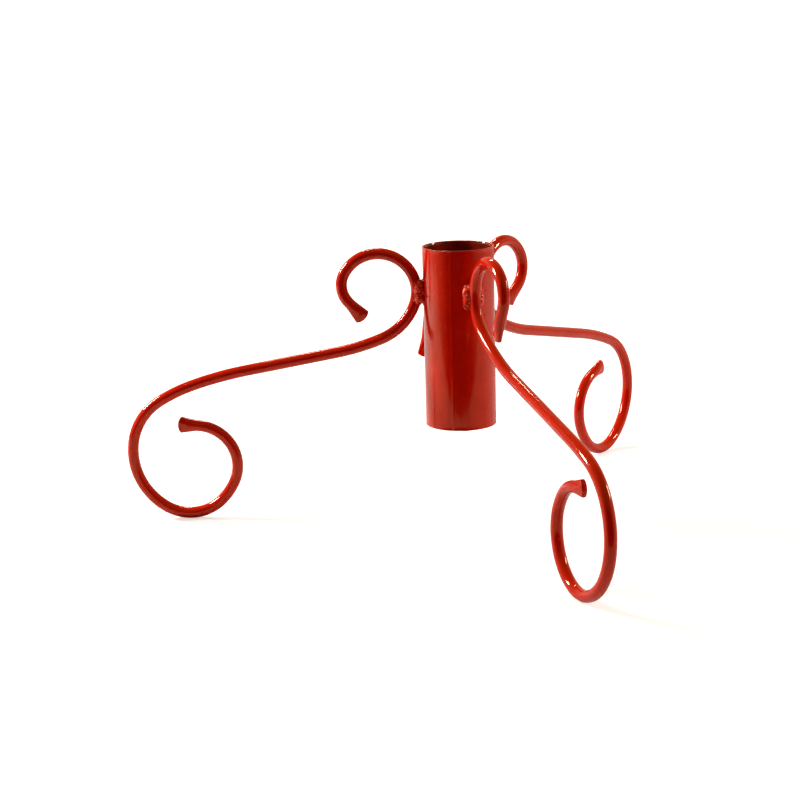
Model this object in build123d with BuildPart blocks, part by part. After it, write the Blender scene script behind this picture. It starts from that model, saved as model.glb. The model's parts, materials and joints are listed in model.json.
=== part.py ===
"""Three-legged scroll stand: an upright tube socket, three bent rod legs and an L-shaped clamp screw.

Origin on the floor on the tube's axis, +Z up, millimetres. Azimuths are degrees from +X about +Z.
"""
import os
from math import cos, radians, sin

from build123d import *

# Socket tube
TUBE_OUTER_R = 31.75
TUBE_WALL = 1.75
TUBE_BOTTOM_Z = 86.5
TUBE_LENGTH = 160.0
RIM_EDGE = 0.3

# Legs
ROD_R = 5.0
FAN_LENGTH = 18.0
FAN_MID_SHARE = 0.45
FAN_MID_HALF = (4.0, 6.4)
FAN_END_HALF = (2.2, 9.8)
FAN_TIP_R = 12.0
FAN_TIP_HALF = 7.7
FAN_TRIM = 17.0
FAN_TRIM_HALF = 5.1
BEND_RADII = (22.0, 34.0, 54.0, 210.0, None, 335.0, 150.0, 56.0, 60.0, 42.0, 60.0, 37.0)
COUNTER_FROM = 5
LEFT_AZIMUTH = 180.0
FRONT_AZIMUTH = -67.5
REAR_AZIMUTH = 56.1
# Each leg: upper tip radius and height, heading, tip straight, then one bend angle per radius
# (a length in mm where the radius is None). The legs are bent by hand, so they differ a little.
LEFT_BENDS = (84.0, 182.28, 48.0, 3.0, 71.5, 173.0, 45.5, 11.5, 84.5, 9.0, 12.0, 52.5, 61.5, 78.5, 20.5, 111.5)
FRONT_BENDS = (84.5, 178.0, 62.5, 14.0, 78.0, 174.0, 15.0, 18.0, 111.5, 5.0, 2.5, 68.5, 74.0, 134.0, 13.5, 40.5)
REAR_BENDS = (78.5, 183.37, 38.0, 3.0, 84.0, 170.0, 43.5, 12.5, 101.5, 9.0, 2.5, 85.5, 42.0, 72.0, 21.5, 101.5)

# Welds of the legs to the tube
BEAD_R = 4.3
BEAD_HEIGHT = 22.0
BEAD_CENTRE_R = 34.3
BEAD_OFFSET = 5.3
BEAD_Z = 206.5

# Clamp screw, nut and their welds
SCREW_AZIMUTH = 110.0
SCREW_Z = 200.0
SCREW_R = 4.95
SCREW_TIP_R = 30.25
SCREW_TIP_BEVEL = 1.2
SCREW_END_R = 65.0
SCREW_HOLE_R = 5.5
NUT_BORE_R = 5.0
NUT_ACROSS_FLATS = 17.0
NUT_THICKNESS = 8.0
NUT_FACE_R = 31.8
NUT_CORNER_BEVEL = 0.9
NUT_BEAD_R = 3.0
NUT_BEAD_HEIGHT = 14.0
NUT_BEAD_CENTRE_R = 32.2
NUT_BEAD_OFFSET = 9.3
LEVER_STUB = 1.0
LEVER_BEND_R = 10.0
LEVER_REACH = 68.0
LEVER_TILT = 7.0


def radial_plane(azimuth):
    """Upright plane through the tube's axis: local x is the distance from the axis, local y is height."""
    a = radians(azimuth)
    return Plane(origin=(0, 0, 0), x_dir=(cos(a), sin(a), 0), z_dir=(sin(a), -cos(a), 0))


def section_plane(base, spot, heading):
    """Plane across a rod that lies in base, at the local point spot and heading in that direction."""
    h = radians(heading)
    forward = base.x_dir * cos(h) + base.y_dir * sin(h)
    return Plane(origin=base.from_local_coords((*spot, 0)), x_dir=base.z_dir, z_dir=forward)


def ahead(spot, heading, length):
    """Local point a given length further along the heading."""
    h = radians(heading)
    return (spot[0] + length * cos(h), spot[1] + length * sin(h))


def straight(base, spot, heading, length):
    """Adds a straight stretch of rod and returns its far end."""
    with BuildSketch(section_plane(base, spot, heading)) as section:
        Circle(ROD_R)
    extrude(section.sketch, amount=length)
    return ahead(spot, heading, length)


def bend(base, spot, heading, radius, angle):
    """Adds a bend of rod, turning left in base for a positive angle, and returns its end and new heading."""
    side = 1 if angle > 0 else -1
    centre = ahead(spot, heading + 90 * side, radius)
    pivot = Axis(base.from_local_coords((*centre, 0)), base.z_dir * side)
    with BuildSketch(section_plane(base, spot, heading)) as section:
        Circle(ROD_R)
    revolve(section.sketch, axis=pivot, revolution_arc=abs(angle))
    return ahead(centre, heading + angle - 90 * side, radius), heading + angle


def fan(base, spot, heading):
    """Adds a hammered end that widens in base and thins across it, with trimmed sides and a convex tip."""
    mid = ahead(spot, heading, FAN_LENGTH * FAN_MID_SHARE)
    tip = ahead(spot, heading, FAN_LENGTH)
    with BuildSketch(section_plane(base, spot, heading)) as round_end:
        Circle(ROD_R)
    with BuildSketch(section_plane(base, mid, heading)) as waist:
        Ellipse(*FAN_MID_HALF)
    with BuildSketch(section_plane(base, tip, heading)) as flat_end:
        Ellipse(*FAN_END_HALF)
    loft([round_end.sketch, waist.sketch, flat_end.sketch])
    tip_plane = Plane(
        origin=base.from_local_coords((*tip, 0)),
        x_dir=section_plane(base, tip, heading).z_dir,
        z_dir=base.z_dir,
    )
    with BuildSketch(tip_plane) as outline:
        with Locations((-FAN_TIP_R, 0)):
            Circle(FAN_TIP_R)
        with BuildLine():
            Polyline(
                (-FAN_TRIM, FAN_TRIM_HALF),
                (0, FAN_TIP_HALF),
                (0, -FAN_TIP_HALF),
                (-FAN_TRIM, -FAN_TRIM_HALF),
                close=True,
            )
        make_face(mode=Mode.INTERSECT)
    with BuildSketch(tip_plane) as waste:
        with Locations((-FAN_TRIM / 2 + ROD_R, 0)):
            Rectangle(FAN_TRIM + 2 * ROD_R, 3 * FAN_END_HALF[1])
        add(outline.sketch_local, mode=Mode.SUBTRACT)
    extrude(waste.sketch, amount=ROD_R, both=True, mode=Mode.SUBTRACT)


def scroll_leg(azimuth, bends):
    """Adds one leg: hammered upper tip, upper scroll, falling bar, foot scroll, hammered foot tip."""
    base = radial_plane(azimuth)
    radius, height, heading, tip_straight = bends[:4]
    root = ahead((radius, height), heading, FAN_LENGTH)
    fan(base, root, heading + 180)
    spot = straight(base, root, heading, tip_straight)
    for index, (bend_radius, amount) in enumerate(zip(BEND_RADII, bends[4:])):
        if bend_radius is None:
            spot = straight(base, spot, heading, amount)
        else:
            turn = amount if index < COUNTER_FROM else -amount
            spot, heading = bend(base, spot, heading, bend_radius, turn)
    fan(base, spot, heading)


def upright_bead(azimuth, centre_r, offset, z, radius, height):
    """Adds an upright round-ended bead beside a radial plane."""
    spot = radial_plane(azimuth).from_local_coords((centre_r, z, offset))
    shaft = height - 2 * radius
    with Locations(spot):
        Cylinder(radius, shaft)
    with Locations(spot + Vector(0, 0, shaft / 2), spot - Vector(0, 0, shaft / 2)):
        Sphere(radius)


with BuildPart() as tube_blank:
    with BuildSketch(Plane.XY.offset(TUBE_BOTTOM_Z)):
        Circle(TUBE_OUTER_R)
    extrude(amount=TUBE_LENGTH)

screw_base = radial_plane(SCREW_AZIMUTH)


def screw_plane(radius):
    """Plane across the screw's axis at a distance from the tube's axis, facing outward."""
    return section_plane(screw_base, (radius, SCREW_Z), 0)


with BuildPart() as socket_tube:
    with BuildSketch(Plane.XY.offset(TUBE_BOTTOM_Z)):
        Circle(TUBE_OUTER_R)
        Circle(TUBE_OUTER_R - TUBE_WALL, mode=Mode.SUBTRACT)
    extrude(amount=TUBE_LENGTH)
    outer_rims = socket_tube.edges().filter_by(GeomType.CIRCLE).group_by(SortBy.RADIUS)[-1]
    fillet(outer_rims, RIM_EDGE)
    with BuildSketch(screw_plane(0)):
        Circle(SCREW_HOLE_R)
    extrude(amount=2 * TUBE_OUTER_R, mode=Mode.SUBTRACT)

with BuildPart() as leg_left:
    scroll_leg(LEFT_AZIMUTH, LEFT_BENDS)

with BuildPart() as leg_front:
    scroll_leg(FRONT_AZIMUTH, FRONT_BENDS)

with BuildPart() as leg_rear:
    scroll_leg(REAR_AZIMUTH, REAR_BENDS)

with BuildPart() as clamp_nut:
    with BuildSketch(screw_plane(NUT_FACE_R)):
        RegularPolygon(NUT_ACROSS_FLATS / 2, 6, major_radius=False)
    extrude(amount=NUT_THICKNESS)
    with BuildSketch(screw_plane(NUT_FACE_R)):
        Circle(NUT_ACROSS_FLATS / 2 + NUT_CORNER_BEVEL)
    extrude(amount=NUT_THICKNESS, mode=Mode.INTERSECT)
    with BuildSketch(screw_plane(NUT_FACE_R)):
        Circle(NUT_BORE_R)
    extrude(amount=NUT_THICKNESS, mode=Mode.SUBTRACT)

with BuildPart() as clamp_screw:
    with BuildSketch(screw_plane(SCREW_TIP_R)):
        Circle(SCREW_R)
    extrude(amount=SCREW_END_R - SCREW_TIP_R)
    chamfer(clamp_screw.faces().sort_by(Axis((0, 0, SCREW_Z), screw_base.x_dir))[0].edges(), SCREW_TIP_BEVEL)

tilt = radians(LEVER_TILT)
lever_down = Vector(0, 0, -cos(tilt)) - screw_base.z_dir * sin(tilt)
lever_base = Plane(
    origin=screw_base.from_local_coords((SCREW_END_R, SCREW_Z, 0)),
    x_dir=screw_base.x_dir,
    z_dir=-screw_base.x_dir.cross(lever_down),
)
fan_start = LEVER_REACH - FAN_LENGTH
with BuildPart() as clamp_handle:
    elbow = straight(lever_base, (0, 0), 0, LEVER_STUB)
    elbow_end, lever_heading = bend(lever_base, elbow, 0, LEVER_BEND_R, -90)
    fan_root = straight(lever_base, elbow_end, lever_heading, fan_start - LEVER_BEND_R)

lever_axis_x = LEVER_STUB + LEVER_BEND_R
fan_base = Plane(
    origin=lever_base.from_local_coords((lever_axis_x, 0, 0)),
    x_dir=lever_base.z_dir,
    z_dir=-lever_base.x_dir,
)
with clamp_handle:
    fan(fan_base, (0, -fan_start), -90)

welds = {}
for name, azimuth, leg in (
    ("left", LEFT_AZIMUTH, leg_left),
    ("front", FRONT_AZIMUTH, leg_front),
    ("rear", REAR_AZIMUTH, leg_rear),
):
    for side, offset in (("a", BEAD_OFFSET), ("b", -BEAD_OFFSET)):
        with BuildPart() as bead:
            upright_bead(azimuth, BEAD_CENTRE_R, offset, BEAD_Z, BEAD_R, BEAD_HEIGHT)
            add(tube_blank.part, mode=Mode.SUBTRACT)
            add(leg.part, mode=Mode.SUBTRACT)
        welds[f"weld_{name}_{side}"] = bead

for side, offset in (("a", NUT_BEAD_OFFSET), ("b", -NUT_BEAD_OFFSET)):
    with BuildPart() as bead:
        upright_bead(SCREW_AZIMUTH, NUT_BEAD_CENTRE_R, offset, SCREW_Z, NUT_BEAD_R, NUT_BEAD_HEIGHT)
        add(tube_blank.part, mode=Mode.SUBTRACT)
        add(clamp_nut.part, mode=Mode.SUBTRACT)
    welds[f"weld_nut_{side}"] = bead

pieces = {
    "socket_tube": socket_tube,
    "leg_left": leg_left,
    "leg_front": leg_front,
    "leg_rear": leg_rear,
    "clamp_nut": clamp_nut,
    "clamp_screw": clamp_screw,
    "clamp_handle": clamp_handle,
    **welds,
}
os.makedirs("parts", exist_ok=True)
for name, piece in pieces.items():
    piece.part.label = name
    export_step(piece.part, f"parts/{name}.step")
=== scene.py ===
"""Looks for the three-legged scroll stand: bent and hammered rod welded to a tube, in glossy red enamel."""
import json
import math
import random

import bmesh
import bpy
from mathutils import Matrix, Vector, noise
from mathutils.bvhtree import BVHTree

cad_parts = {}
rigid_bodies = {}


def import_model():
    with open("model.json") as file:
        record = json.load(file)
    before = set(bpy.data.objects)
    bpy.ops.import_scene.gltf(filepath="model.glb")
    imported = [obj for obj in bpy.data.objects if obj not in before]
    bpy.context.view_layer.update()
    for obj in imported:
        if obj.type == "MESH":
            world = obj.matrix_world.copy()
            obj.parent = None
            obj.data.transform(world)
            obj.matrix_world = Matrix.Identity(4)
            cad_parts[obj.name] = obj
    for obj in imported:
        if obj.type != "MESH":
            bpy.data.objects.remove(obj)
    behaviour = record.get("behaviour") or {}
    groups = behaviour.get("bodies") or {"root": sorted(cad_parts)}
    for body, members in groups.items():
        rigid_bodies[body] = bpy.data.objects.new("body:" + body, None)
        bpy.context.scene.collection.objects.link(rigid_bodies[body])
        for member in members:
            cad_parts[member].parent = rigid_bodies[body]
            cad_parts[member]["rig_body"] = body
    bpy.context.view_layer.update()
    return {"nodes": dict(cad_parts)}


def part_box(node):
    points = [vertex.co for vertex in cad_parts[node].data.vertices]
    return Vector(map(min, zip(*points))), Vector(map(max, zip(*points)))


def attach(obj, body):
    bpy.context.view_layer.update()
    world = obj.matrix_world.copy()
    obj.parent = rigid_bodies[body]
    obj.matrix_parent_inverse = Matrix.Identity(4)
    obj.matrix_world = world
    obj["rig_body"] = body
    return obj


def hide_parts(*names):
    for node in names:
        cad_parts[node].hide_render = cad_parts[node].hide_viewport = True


MM = 0.001

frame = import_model()

# Camera: place and lens in metres and millimetres, angles in degrees
CAMERA_POSITION = Vector((0.0288, -1.5487, 0.4843))
CAMERA_YAW = -3.08
CAMERA_PITCH = -13.64
CAMERA_ROLL = -1.59
CAMERA_LENS_MM = 80.08
SENSOR_MM = 36.0

# Studio: lengths in metres, brightness where white is 1, directions in degrees round from the front
FLOOR_REACH = 6.0
SHEET_FRONT = -0.42
GLOW_NEAR = 0.62
GLOW_FAR = 1.05
GLOW_FROM = 0.35
GLOW_TO = 1.3
BACKGROUND = 1.05
ROOM_DARK = (40, 75)
ROOM_FRONT = 0.01
ROOM_WALLS = 0.62
ROOM_CEILING = 0.33
CEILING_FROM = (0.35, 0.7)
WALL_COLOUR = (1.0, 0.78, 0.52, 1)
CEILING_COLOUR = (1.0, 0.62, 0.12, 1)

SOFTBOXES = {
    "overhead": {"place": (-0.35, 1.0, 1.3), "size": (0.60, 0.10), "brightness": 42},
    "left": {"place": (-1.3, 0.25, 0.8), "size": (0.24, 0.42), "brightness": 76},
    "right": {"place": (1.4, 0.15, 0.75), "size": (0.16, 0.40), "brightness": 46},
}
SOFTBOX_AIM = Vector((0, 0, 0.12))

# Rod and its hammered ends
ROD_THICKNESS = 10 * MM
ROD_VOXEL = 0.5 * MM
ROD_SMOOTHING = 12
ROD_PAINT = 0.1 * MM
HAMMERED_KEEPS = 0.85
HAMMERED_UNDER = 9.3 * MM
HAMMERED_FULLY = 7.0 * MM
HAMMER_MARK = 3.6 * MM
HAMMER_DEPTH = 0.22 * MM
HAMMER_FALL = 1.8
ROD_WAVE = 28 * MM
ROD_WAVE_HEIGHT = 0.07 * MM

# Tube
TUBE_WALL = 1.75 * MM
TUBE_STEPS_ROUND = 360
TUBE_STEPS_UP = 48
RIM_STEPS = 5
RIM_DROP = 0.3 * MM
SEAM_AZIMUTH = -101.5
SEAM_WIDTH = 1.0 * MM
SEAM_HEIGHT = 0.22 * MM
SEAM_BEADING = 3.0 * MM
NICK_AZIMUTH = -131.0
NICK_WIDTH = 4.0 * MM
NICK_DEPTH = 0.6 * MM
RIM_WAVE_HEIGHT = 0.05 * MM
RIM_WAVES_ROUND = 4
SAG_HEIGHT = 0.35 * MM
SAGS_ROUND = 3
HOLE_CLEARANCE = 0.55 * MM
HOLE_STEPS = 64

# Welds
WELD_VOXEL = 0.38 * MM
WELD_CORE = Vector((1.0, 1.0, 0.86))
WELD_LUMPS = 60
WELD_LUMP_RADII = (0.7 * MM, 1.6 * MM)
WELD_LUMP_SINK = 0.45
WELD_TOES = 60
WELD_TOE_RADII = (0.7 * MM, 1.5 * MM)
WELD_TOE_ANGLE = math.radians(35)
WELD_SMOOTHING = 1
WELD_GRAIN = 0.9 * MM
WELD_GRAIN_HEIGHT = 0.12 * MM
RIPPLE_PITCH = 3.4 * MM
RIPPLE_DEPTH = 0.3 * MM
SPATTER_PER_WELD = 9
SPATTER_REACH = 13 * MM
SPATTER_RADII = (0.25 * MM, 0.75 * MM)
SPATTER_SPREAD = (0.5, 0.7)
SPATTER_LENGTHS = (0.8, 1.5)
SPATTER_RISES = (0.5, 0.8)
SPATTER_LUMPINESS = 0.25
SPATTER_SEED = 7

# Paint
RED_COLOURS = ((0.56, 0.005, 0.0008, 1), (0.63, 0.009, 0.0015, 1))
RED_PEEL = 0.02 * MM
# Weld enamel lighter than the red enamel: painted light on the weld beads and spatter
WELD_LIGHTENED_COLOURS = ((0.60, 0.006, 0.001, 1), (0.75, 0.014, 0.003, 1))
WELD_PEEL = 0.06 * MM
# Dark colours inside the tube: bare steel under thin paint, and painted shade of the bore
BORE_BARE_AND_SHADE_COLOURS = ((0.10, 0.012, 0.006, 1), (0.38, 0.012, 0.004, 1))
NIB_COLOUR = (0.95, 0.12, 0.06, 1)
SHEEN_TINT = (1.0, 0.80, 0.48, 1)

# Clamp nut and screw
NUT_CHAMFER_SLOPE = math.tan(math.radians(60))
NUT_STEPS_PER_SIDE = 12
NUT_BORE = 5.0 * MM
NUT_LEAD_IN = 0.9 * MM
NUT_CHAMFER_FROM = 1.02
NUT_CHAMFER_DEPTHS = (0, 0.15 * MM, 0.4 * MM, 0.7 * MM, 1.0 * MM, 1.4 * MM)
THREAD_PITCH = 1.5 * MM
THREAD_DEPTH = 0.85 * MM
THREAD_STEPS_ROUND = 48
THREAD_STEPS_PER_PITCH = 8
THREAD_RUNOUT = 1.2 * MM
THREAD_FLANK = 2.6
THREAD_CREST = 0.15
SCREW_CENTRE = 0.2 * MM


# Pieces


def link(name, mesh):
    piece = bpy.data.objects.new(name, mesh)
    bpy.context.scene.collection.objects.link(piece)
    return piece


def bake(piece):
    """Keeps what the modifiers make of a piece as its own mesh."""
    shown = piece.evaluated_get(bpy.context.evaluated_depsgraph_get())
    mesh = bpy.data.meshes.new_from_object(shown)
    piece.modifiers.clear()
    piece.data = mesh


def finish_piece(piece, node, material):
    """The piece stands for the CAD node, moves with its body and takes its finish."""
    piece.data.materials.clear()
    piece.data.materials.append(material)
    piece.data.shade_smooth()
    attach(piece, frame["nodes"][node]["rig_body"])
    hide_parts(node)


def node_copy(node, name):
    """A copy of a CAD node's mesh with its seams closed."""
    work = bmesh.new()
    work.from_mesh(frame["nodes"][node].data)
    bmesh.ops.remove_doubles(work, verts=work.verts, dist=0.001 * MM)
    mesh = bpy.data.meshes.new(name)
    work.to_mesh(mesh)
    work.free()
    return link(name, mesh)


def voxel_skin(piece, voxel):
    """Replaces a piece's mesh with one even skin round all of it."""
    remesh = piece.modifiers.new("remesh", "REMESH")
    remesh.mode = "VOXEL"
    remesh.voxel_size = voxel
    bake(piece)


def ease(piece, rounds, weights=None):
    """Smooths a piece's mesh, as thick paint eases sharp edges; weights says how much at each vertex."""
    smooth = piece.modifiers.new("ease", "SMOOTH")
    smooth.factor = 0.5
    smooth.iterations = rounds
    if weights:
        group = piece.vertex_groups.new(name="ease")
        for index, weight in enumerate(weights):
            group.add([index], weight, "REPLACE")
        smooth.vertex_group = "ease"
    bake(piece)


def thicknesses(piece):
    """How thick the piece is under each vertex, straight in from its surface."""
    tree = BVHTree.FromObject(piece, bpy.context.evaluated_depsgraph_get())
    found = []
    for vertex in piece.data.vertices:
        hit = tree.ray_cast(vertex.co - vertex.normal * 0.01 * MM, -vertex.normal)
        found.append(ROD_THICKNESS if hit[3] is None else hit[3])
    return found


def push(piece, heights):
    """Moves each vertex along its normal by its own height."""
    moves = [vertex.normal * height for vertex, height in zip(piece.data.vertices, heights)]
    for vertex, move in zip(piece.data.vertices, moves):
        vertex.co += move


def between(value, low, high):
    """0 at low, 1 at high, eased in between."""
    share = min(1.0, max(0.0, (value - low) / (high - low)))
    return share * share * (3 - 2 * share)


def grid_mesh(name, rings):
    """A closed skin over rings of points; the last ring joins the first."""
    work = bmesh.new()
    rows = [[work.verts.new(point) for point in ring] for ring in rings]
    for row, after in zip(rows, rows[1:] + rows[:1]):
        for i, corner in enumerate(row):
            following = (i + 1) % len(row)
            work.faces.new((corner, row[following], after[following], after[i]))
    bmesh.ops.recalc_face_normals(work, faces=work.faces)
    mesh = bpy.data.meshes.new(name)
    work.to_mesh(mesh)
    work.free()
    return mesh


def hammered_rod(node, name):
    """Bent rod, a little wavy under its paint, with hammer marks wherever it was beaten thinner."""
    piece = node_copy(node, name)
    voxel_skin(piece, ROD_VOXEL)
    beaten = [1 - between(thick, HAMMERED_FULLY, HAMMERED_UNDER) for thick in thicknesses(piece)]
    ease(piece, ROD_SMOOTHING, [1 - HAMMERED_KEEPS * share for share in beaten])
    heights = []
    for vertex, share in zip(piece.data.vertices, beaten):
        wave = ROD_WAVE_HEIGHT * noise.noise(vertex.co / ROD_WAVE)
        off_centre = noise.voronoi(vertex.co / HAMMER_MARK)[0][0]
        dent = HAMMER_DEPTH * share * max(0.0, 1 - off_centre * off_centre * HAMMER_FALL)
        heights.append(wave - dent + ROD_PAINT)
    push(piece, heights)
    finish_piece(piece, node, red)


def tube():
    """Sawn tube with its drawn seam, a slightly uneven rim, and enamel sagging at the lower edge."""
    low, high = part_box("socket_tube")
    radius = high.y
    bore = radius - TUBE_WALL
    rim = TUBE_WALL / 2

    def from_mark(azimuth, mark):
        return math.remainder(azimuth - math.radians(mark), math.tau) * radius

    def outer_radius(azimuth, z):
        off = from_mark(azimuth, SEAM_AZIMUTH)
        beading = 1 + noise.noise(Vector((0, 0, z / SEAM_BEADING)))
        return radius - SEAM_HEIGHT * (1 - beading * math.exp(-((2 * off / SEAM_WIDTH) ** 2)))

    def edge_height(azimuth, z, sign):
        off = from_mark(azimuth, NICK_AZIMUTH)
        place = Vector((math.cos(azimuth), math.sin(azimuth), z))
        wave = noise.noise(place * RIM_WAVES_ROUND) * RIM_WAVE_HEIGHT
        if sign > 0:
            return z - abs(wave) - NICK_DEPTH * math.exp(-((2 * off / NICK_WIDTH) ** 2))
        sag = noise.noise(Vector((math.cos(azimuth), math.sin(azimuth), 9)) * SAGS_ROUND)
        return z - SAG_HEIGHT * max(0.0, sag) + wave

    def ring(of_azimuth):
        steps = range(TUBE_STEPS_ROUND)
        azimuths = [math.tau * step / TUBE_STEPS_ROUND for step in steps]
        points = [(azimuth, *of_azimuth(azimuth)) for azimuth in azimuths]
        return [(r * math.cos(a), r * math.sin(a), z) for a, r, z in points]

    def wall_point(azimuth, share, radius_of):
        bottom = edge_height(azimuth, low.z, -1) * (1 - share)
        top = edge_height(azimuth, high.z, 1) * share
        height = bottom + top - RIM_DROP * (2 * share - 1)
        return radius_of(azimuth, low.z + (high.z - low.z) * share), height

    def side(radius_of, up):
        rings = []
        for step in range(TUBE_STEPS_UP + 1):
            share = step / TUBE_STEPS_UP if up else 1 - step / TUBE_STEPS_UP
            rings.append(ring(lambda azimuth: wall_point(azimuth, share, radius_of)))
        return rings

    def lip(sign):
        rings = []
        edge_z = high.z if sign > 0 else low.z
        for step in range(1, RIM_STEPS):
            turn = math.pi * step / RIM_STEPS
            across = radius - rim + rim * math.cos(turn) * sign
            lift = RIM_DROP * (math.sin(turn) - 1) * sign
            rings.append(ring(lambda azimuth: (across, edge_height(azimuth, edge_z, sign) + lift)))
        return rings

    rings = side(outer_radius, True) + lip(1) + side(lambda azimuth, z: bore, False) + lip(-1)
    piece = link("tube", grid_mesh("tube", rings))
    screw_low, screw_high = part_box("clamp_screw")
    middle = (screw_low + screw_high) / 2
    outward = Vector((middle.x, middle.y, 0)).normalized()
    hole = (screw_high.z - screw_low.z) / 2 + HOLE_CLEARANCE
    drill_hole(piece, outward * radius + Vector((0, 0, middle.z)), outward, hole)
    # The radius given last darkens the bore's colour: bare steel, and painted shade of the bore
    finish_piece(piece, "socket_tube", enamel("tube_enamel", *RED_COLOURS, RED_PEEL, bore + 0.02 * MM))


def drill_hole(piece, place, outward, hole):
    """Cuts a round hole of radius hole through the tube's wall."""
    cutter_mesh = bpy.data.meshes.new("drill")
    work = bmesh.new()
    bmesh.ops.create_cone(
        work, segments=HOLE_STEPS, radius1=hole, radius2=hole, depth=TUBE_WALL * 6, cap_ends=True
    )
    work.to_mesh(cutter_mesh)
    work.free()
    cutter = link("drill", cutter_mesh)
    cutter.matrix_world = Matrix.Translation(place) @ outward.to_track_quat("Z", "Y").to_matrix().to_4x4()
    bpy.context.view_layer.update()
    cut = piece.modifiers.new("hole", "BOOLEAN")
    cut.operation = "DIFFERENCE"
    cut.solver = "EXACT"
    cut.object = cutter
    bake(piece)
    bpy.data.objects.remove(cutter)


def within(element, chance):
    """A random point of a mesh face or edge."""
    shares = [chance.expovariate(1.0) for _ in element.verts]
    places = (vertex.co * share for vertex, share in zip(element.verts, shares))
    return sum(places, Vector()) / sum(shares)


def weld_bead(node, name):
    """A short run of weld: small lumps melted onto a core the shape of the CAD bead, more along its edges."""
    low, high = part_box(node)
    middle = (low + high) / 2
    chance = random.Random(hash_of(node))
    work = bmesh.new()
    work.from_mesh(frame["nodes"][node].data)
    bmesh.ops.remove_doubles(work, verts=work.verts, dist=0.001 * MM)
    work.normal_update()
    faces = list(work.faces)
    sharp = [edge for edge in work.edges if edge.calc_face_angle(0.0) > WELD_TOE_ANGLE]
    lumps = []
    for face in chance.choices(faces, [face.calc_area() for face in faces], k=WELD_LUMPS):
        size = chance.uniform(*WELD_LUMP_RADII)
        lumps.append((within(face, chance) - face.normal * size * WELD_LUMP_SINK, size))
    for edge in chance.choices(sharp, [edge.calc_length() for edge in sharp], k=WELD_TOES):
        lumps.append((within(edge, chance), chance.uniform(*WELD_TOE_RADII)))
    for vertex in work.verts:
        vertex.co = middle + (vertex.co - middle) * WELD_CORE
    for place, size in lumps:
        bmesh.ops.create_icosphere(work, subdivisions=3, radius=size, matrix=Matrix.Translation(place))
    mesh = bpy.data.meshes.new(name)
    work.to_mesh(mesh)
    work.free()
    piece = link(name, mesh)
    voxel_skin(piece, WELD_VOXEL)
    ease(piece, WELD_SMOOTHING)
    heights = []
    for vertex in piece.data.vertices:
        lean = noise.noise(vertex.co / WELD_GRAIN / 3)
        ripple = abs(math.sin(math.pi * (vertex.co.z / RIPPLE_PITCH + lean)))
        grain = noise.noise(vertex.co / WELD_GRAIN)
        heights.append(RIPPLE_DEPTH * (ripple - 1) + WELD_GRAIN_HEIGHT * grain)
    push(piece, heights)
    # Lighter weld enamel: painted light on the bead
    finish_piece(piece, node, weld_red_lightened)


def hash_of(word):
    """A small number that is the same for the same word in every run."""
    return sum(ord(letter) * (place + 1) for place, letter in enumerate(word)) % 97


def spatter(beads):
    """Beads of metal thrown off the welds, stuck to the tube and painted over."""
    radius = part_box("socket_tube")[1].y
    chance = random.Random(SPATTER_SEED)
    work = bmesh.new()
    for node in beads:
        low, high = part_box(node)
        middle = (low + high) / 2
        azimuth = math.atan2(middle.y, middle.x)
        for _ in range(SPATTER_PER_WELD):
            size = chance.uniform(*SPATTER_RADII)
            turn = azimuth + chance.gauss(0, SPATTER_SPREAD[0]) * SPATTER_REACH / radius
            z = middle.z + chance.gauss(0, SPATTER_SPREAD[1]) * SPATTER_REACH
            outward = Vector((math.cos(turn), math.sin(turn), 0))
            place = outward * radius + Vector((0, 0, z))
            flat = Matrix.Diagonal((1, chance.uniform(*SPATTER_LENGTHS), chance.uniform(*SPATTER_RISES), 1))
            spin = outward.to_track_quat("Z", "Y").to_matrix().to_4x4()
            drop = bmesh.ops.create_icosphere(work, subdivisions=3, radius=size)
            moved = Matrix.Translation(place) @ spin @ flat
            for vertex in drop["verts"]:
                lump = 1 + SPATTER_LUMPINESS * noise.noise(vertex.co / size + Vector((z / MM, 0, 0)))
                vertex.co = moved @ (vertex.co * lump)
    mesh = bpy.data.meshes.new("weld_spatter")
    work.to_mesh(mesh)
    work.free()
    piece = link("weld_spatter", mesh)
    # Lighter weld enamel: painted light on the spatter
    mesh.materials.append(weld_red_lightened)
    mesh.shade_smooth()
    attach(piece, "stand")


def screw_axes():
    """The screw's frame: origin on the tube's axis at the screw's height, X outward along the screw, Z up."""
    low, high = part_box("clamp_screw")
    middle = (low + high) / 2
    outward = Vector((middle.x, middle.y, 0)).normalized()
    sideways = Vector((0, 0, 1)).cross(outward)
    turned = Matrix((outward, sideways, Vector((0, 0, 1)))).transposed().to_4x4()
    return Matrix.Translation((0, 0, middle.z)) @ turned


def span_along(node, axis_frame):
    """The least and greatest distance of a node's points along the frame's X."""
    inverse = axis_frame.inverted()
    distances = [(inverse @ vertex.co).x for vertex in frame["nodes"][node].data.vertices]
    return min(distances), max(distances)


def turned_mesh(name, stations, place):
    """A closed skin round X: each station is a distance along X and a radius for each angle."""
    rings = []
    for along, radii in stations:
        steps = len(radii)
        angles = [math.tau * i / steps for i in range(steps)]
        ring = [place @ Vector((along, r * math.cos(a), r * math.sin(a))) for a, r in zip(angles, radii)]
        rings.append(ring)
    return grid_mesh(name, rings)


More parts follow.
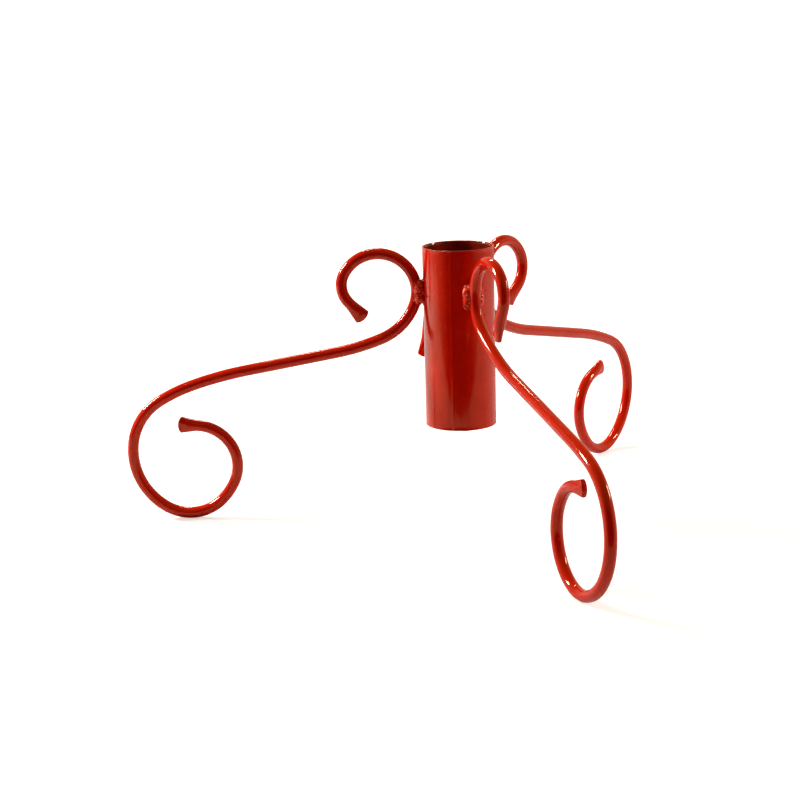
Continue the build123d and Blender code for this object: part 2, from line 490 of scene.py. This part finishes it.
def clamp_nut():
    """Hexagon nut with both ends chamfered and a lead-in at each end of its bore."""
    place = screw_axes()
    near, far = span_along("clamp_nut", place)
    low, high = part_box("clamp_nut")
    flat = (high.z - low.z) / 2
    steps = 6 * NUT_STEPS_PER_SIDE

    def hexagon(angle):
        off = math.remainder(angle - math.pi / 2, math.pi / 3)
        return flat / math.cos(off)

    def outside(depth):
        reach = flat * NUT_CHAMFER_FROM + depth * NUT_CHAMFER_SLOPE
        return [min(hexagon(math.tau * i / steps), reach) for i in range(steps)]

    def inside(radius):
        return [radius] * steps

    mouth = inside(NUT_BORE + NUT_LEAD_IN)
    stations = [(near + depth, outside(depth)) for depth in NUT_CHAMFER_DEPTHS]
    stations += [(far - depth, outside(depth)) for depth in reversed(NUT_CHAMFER_DEPTHS)]
    stations += [(far, mouth), (far - NUT_LEAD_IN, inside(NUT_BORE))]
    stations += [(near + NUT_LEAD_IN, inside(NUT_BORE)), (near, mouth)]
    piece = link("nut", turned_mesh("nut", stations, place))
    finish_piece(piece, "clamp_nut", red)


def clamp_screw():
    """Threaded rod whose one helical groove runs out at each end."""
    place = screw_axes()
    near, far = span_along("clamp_screw", place)
    low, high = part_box("clamp_screw")
    crest = (high.z - low.z) / 2
    step = THREAD_PITCH / THREAD_STEPS_PER_PITCH
    count = int((far - near) / step)

    def groove(along, angle):
        turn = (along / THREAD_PITCH - angle / math.tau) % 1.0
        flank = min(1.0, max(0.0, abs(turn - 0.5) * THREAD_FLANK - THREAD_CREST))
        return THREAD_DEPTH * flank

    def radii(along):
        fade = between(min(along - near, far - along), 0, THREAD_RUNOUT)
        end = crest - THREAD_DEPTH * (1 - fade)
        angles = [math.tau * i / THREAD_STEPS_ROUND for i in range(THREAD_STEPS_ROUND)]
        return [min(end, crest - groove(along, angle)) for angle in angles]

    alongs = [near + (far - near) * i / count for i in range(count + 1)]
    centre = [SCREW_CENTRE] * THREAD_STEPS_ROUND
    stations = [(near, centre)] + [(along, radii(along)) for along in alongs] + [(far, centre)]
    piece = link("screw", turned_mesh("screw", stations, place))
    piece.data.materials.append(steel)
    piece.data.shade_smooth()
    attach(piece, "handle")
    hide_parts("clamp_screw")


# Materials


class Nodes:
    """Short spelling for building one shader tree."""

    def __init__(self, tree):
        self.tree = tree

    def add(self, kind, values=None, **settings):
        node = self.tree.nodes.new("ShaderNode" + kind)
        for key, value in settings.items():
            setattr(node, key, value)
        for socket, value in (values or {}).items():
            self.put(node.inputs[socket], value)
        return node

    def put(self, socket, value):
        if isinstance(value, bpy.types.NodeSocket):
            self.tree.links.new(value, socket)
        else:
            socket.default_value = value

    def noise(self, where, scale, detail=2.0, rough=0.5):
        node = self.add("TexNoise", {"Vector": where, "Scale": scale, "Detail": detail, "Roughness": rough})
        return node.outputs["Fac"]

    def spread(self, value, low, high, to_low=0.0, to_high=1.0):
        values = {"Value": value, "From Min": low, "From Max": high, "To Min": to_low, "To Max": to_high}
        return self.add("MapRange", values, clamp=True).outputs["Result"]

    def blend(self, share, first, second):
        node = self.add("Mix", data_type="RGBA")
        for socket, value in (("Factor", share), ("A", first), ("B", second)):
            found = next(i for i in node.inputs if i.name == socket and i.enabled)
            self.put(found, value)
        return next(o for o in node.outputs if o.enabled)

    def bump(self, height, distance, strength=1.0, normal=None):
        values = {"Height": height, "Distance": distance, "Strength": strength}
        if normal is not None:
            values["Normal"] = normal
        return self.add("Bump", values).outputs["Normal"]


def new_material(name):
    material = bpy.data.materials.new(name)
    material.use_nodes = True
    material.node_tree.nodes.clear()
    return material, Nodes(material.node_tree)


def enamel(name, deep, bright, peel_height, bare_and_shaded_inside=None):
    """Glossy red enamel, uneven in depth of colour, with orange peel and a few dust nibs.

    Nearer the Z axis than the radius given last, the colour turns dark inside the bore: bare steel under a
    dusting of paint, and painted shade of the bore.
    """
    material, n = new_material(name)
    where = n.add("TexCoord").outputs["Object"]
    clouds = n.spread(n.noise(where, 45.0, 4.0), 0.35, 0.65)
    colour = n.blend(clouds, deep, bright)
    nibs = n.spread(n.noise(where, 900.0, 1.0), 0.74, 0.80)
    colour = n.blend(nibs, colour, NIB_COLOUR)
    # Inside the bore: darker colour for bare steel under a dusting of paint, and painted shade of the bore
    if bare_and_shaded_inside:
        flat = n.add("VectorMath", {0: where, 1: (1, 1, 0)}, operation="MULTIPLY").outputs[0]
        reach = n.add("VectorMath", {0: flat}, operation="LENGTH").outputs["Value"]
        painted = n.spread(reach, bare_and_shaded_inside, bare_and_shaded_inside + 0.15 * MM)
        dusting = n.spread(n.noise(where, 130.0, 5.0), 0.3, 0.75)
        bare_and_shaded = n.blend(dusting, *BORE_BARE_AND_SHADE_COLOURS)
        colour = n.blend(painted, bare_and_shaded, colour)
    peel = n.noise(where, 620.0, 2.0)
    waves = n.noise(where, 90.0, 1.0)
    normal = n.bump(waves, 0.12 * MM, 0.2)
    normal = n.bump(peel, peel_height, 0.35, normal)
    normal = n.bump(nibs, 0.1 * MM, 0.5, normal)
    gloss = n.spread(n.noise(where, 160.0, 3.0), 0.3, 0.7, 0.04, 0.10)
    shader = n.add(
        "BsdfPrincipled",
        {
            "Base Color": colour,
            "Roughness": gloss,
            "IOR": 1.5,
            "Specular Tint": SHEEN_TINT,
            "Normal": normal,
        },
    )
    n.put(n.add("OutputMaterial").inputs["Surface"], shader.outputs["BSDF"])
    return material


def plated_steel():
    """Dull zinc-plated steel with darker grime in patches."""
    material, n = new_material("screw_steel")
    where = n.add("TexCoord").outputs["Object"]
    patches = n.spread(n.noise(where, 150.0, 5.0), 0.4, 0.65)
    colour = n.blend(patches, (0.34, 0.33, 0.31, 1), (0.56, 0.55, 0.53, 1))
    scratches = n.noise(where, 1200.0, 3.0)
    rough = n.spread(patches, 0.0, 1.0, 0.5, 0.28)
    shader = n.add(
        "BsdfPrincipled",
        {
            "Base Color": colour,
            "Metallic": 1.0,
            "Roughness": rough,
            "Normal": n.bump(scratches, 0.05 * MM, 0.4),
        },
    )
    n.put(n.add("OutputMaterial").inputs["Surface"], shader.outputs["BSDF"])
    return material


# Studio


def stage_white():
    """White paper, which the camera sees brighter than it is, so that only contact shadows show on it."""
    material, n = new_material("stage_white")
    where = n.add("TexCoord").outputs["Object"]
    grain = n.blend(n.noise(where, 6.0, 2.0), (0.67, 0.67, 0.675, 1), (0.70, 0.70, 0.70, 1))
    distance = n.add("VectorMath", {0: where}, operation="LENGTH").outputs["Value"]
    glow = n.spread(distance, GLOW_FROM, GLOW_TO, GLOW_NEAR, GLOW_FAR)
    seen = n.add("LightPath").outputs["Is Camera Ray"]
    paper = n.add(
        "BsdfPrincipled",
        {
            "Base Color": grain,
            "Roughness": 0.9,
            "Specular IOR Level": 0.0,
            "Emission Color": (1, 1, 1, 1),
            "Emission Strength": n.add("Math", {0: glow, 1: seen}, operation="MULTIPLY").outputs[0],
        },
    )
    n.put(n.add("OutputMaterial").inputs["Surface"], paper.outputs["BSDF"])
    return material


def flat_sheet(name, low, high, paper):
    """A level rectangle of paper at floor height between two corners."""
    mesh = bpy.data.meshes.new(name)
    corners = [(low[0], low[1], 0), (high[0], low[1], 0), (high[0], high[1], 0), (low[0], high[1], 0)]
    mesh.from_pydata(corners, [], [(0, 1, 2, 3)])
    mesh.materials.append(paper)
    piece = link(name, mesh)
    return piece


def floor():
    """A wide white sheet under the stand; what lies in front of its near edge is seen, but lights nothing."""
    paper = stage_white()
    flat_sheet("floor", (-FLOOR_REACH, SHEET_FRONT), (FLOOR_REACH, FLOOR_REACH), paper)
    apron = flat_sheet("floor_front", (-FLOOR_REACH, -FLOOR_REACH), (FLOOR_REACH, SHEET_FRONT), paper)
    apron.visible_glossy = False
    apron.visible_diffuse = False


def surroundings():
    """White walls at the back and sides, a dim ceiling and a dark room in front; the camera sees white."""
    world = bpy.data.worlds.new("studio")
    bpy.context.scene.world = world
    world.use_nodes = True
    world.node_tree.nodes.clear()
    n = Nodes(world.node_tree)
    axes = n.add("SeparateXYZ", {"Vector": n.add("TexCoord").outputs["Generated"]})
    front = n.add("Math", {0: axes.outputs["Y"], 1: -1.0}, operation="MULTIPLY").outputs[0]
    turn = n.add("Math", {0: axes.outputs["X"], 1: front}, operation="ARCTAN2").outputs[0]
    around = n.add("Math", {0: turn}, operation="ABSOLUTE").outputs[0]
    walls = n.spread(around, math.radians(ROOM_DARK[0]), math.radians(ROOM_DARK[1]), ROOM_FRONT, ROOM_WALLS)
    high = n.spread(axes.outputs["Z"], CEILING_FROM[0], CEILING_FROM[1])
    brightness = n.add("Mix", data_type="FLOAT")
    n.put(brightness.inputs[0], high)
    n.put(brightness.inputs[2], walls)
    n.put(brightness.inputs[3], ROOM_CEILING)
    colour = n.blend(high, WALL_COLOUR, CEILING_COLOUR)
    room = n.add("Background", {"Color": colour, "Strength": brightness.outputs[0]})
    white = n.add("Background", {"Color": (1, 1, 1, 1), "Strength": BACKGROUND})
    seen = n.add("LightPath").outputs["Is Camera Ray"]
    both = n.add("MixShader", {0: seen, 1: room.outputs[0], 2: white.outputs[0]})
    n.put(n.add("OutputWorld").inputs["Surface"], both.outputs[0])


def softbox(name, place, size, brightness):
    """A rectangular light aimed at the tube; brightness is how bright its face looks where white is 1."""
    data = bpy.data.lights.new(name, "AREA")
    data.shape = "RECTANGLE"
    data.size, data.size_y = size
    data.energy = math.pi * size[0] * size[1] * brightness
    light = link(name, data)
    place = Vector(place)
    aim = (SOFTBOX_AIM - place).to_track_quat("-Z", "Y").to_matrix().to_4x4()
    light.matrix_world = Matrix.Translation(place) @ aim


def camera():
    """The camera, turned by its yaw, pitch and roll from level and straight ahead."""
    yaw, pitch, roll = (math.radians(a) for a in (CAMERA_YAW, CAMERA_PITCH, CAMERA_ROLL))
    forward = Vector((math.sin(yaw) * math.cos(pitch), math.cos(yaw) * math.cos(pitch), math.sin(pitch)))
    level = forward.cross(Vector((0, 0, 1))).normalized()
    upright = level.cross(forward)
    right = level * math.cos(roll) + upright * math.sin(roll)
    up = upright * math.cos(roll) - level * math.sin(roll)
    data = bpy.data.cameras.new("camera")
    data.lens = CAMERA_LENS_MM
    data.sensor_width = SENSOR_MM
    eye = link("camera", data)
    turned = Matrix((right, up, -forward)).transposed().to_4x4()
    eye.matrix_world = Matrix.Translation(CAMERA_POSITION) @ turned
    bpy.context.scene.camera = eye


SLOT_OF = {
    node: next(iter(piece.data.materials)).name if piece.data.materials else None
    for node, piece in frame["nodes"].items()
}
LEGS = ("leg_left", "leg_front", "leg_rear")
WELDS = [name for name in frame["nodes"] if name.startswith("weld_")]

red = enamel("red_enamel", *RED_COLOURS, RED_PEEL)
# A lighter copy of the red enamel: painted light on the weld beads and spatter
weld_red_lightened = enamel("weld_enamel", *WELD_LIGHTENED_COLOURS, WELD_PEEL)
steel = plated_steel()

for leg in LEGS:
    hammered_rod(leg, leg.replace("leg", "rod"))
hammered_rod("clamp_handle", "lever")
tube()
for weld in WELDS:
    weld_bead(weld, weld.replace("weld", "bead"))
spatter([weld for weld in WELDS if "nut" not in weld])
clamp_nut()
clamp_screw()

bpy.context.scene.view_settings.view_transform = "Standard"
floor()
surroundings()
for box_name, box in SOFTBOXES.items():
    softbox(box_name, **box)
camera()
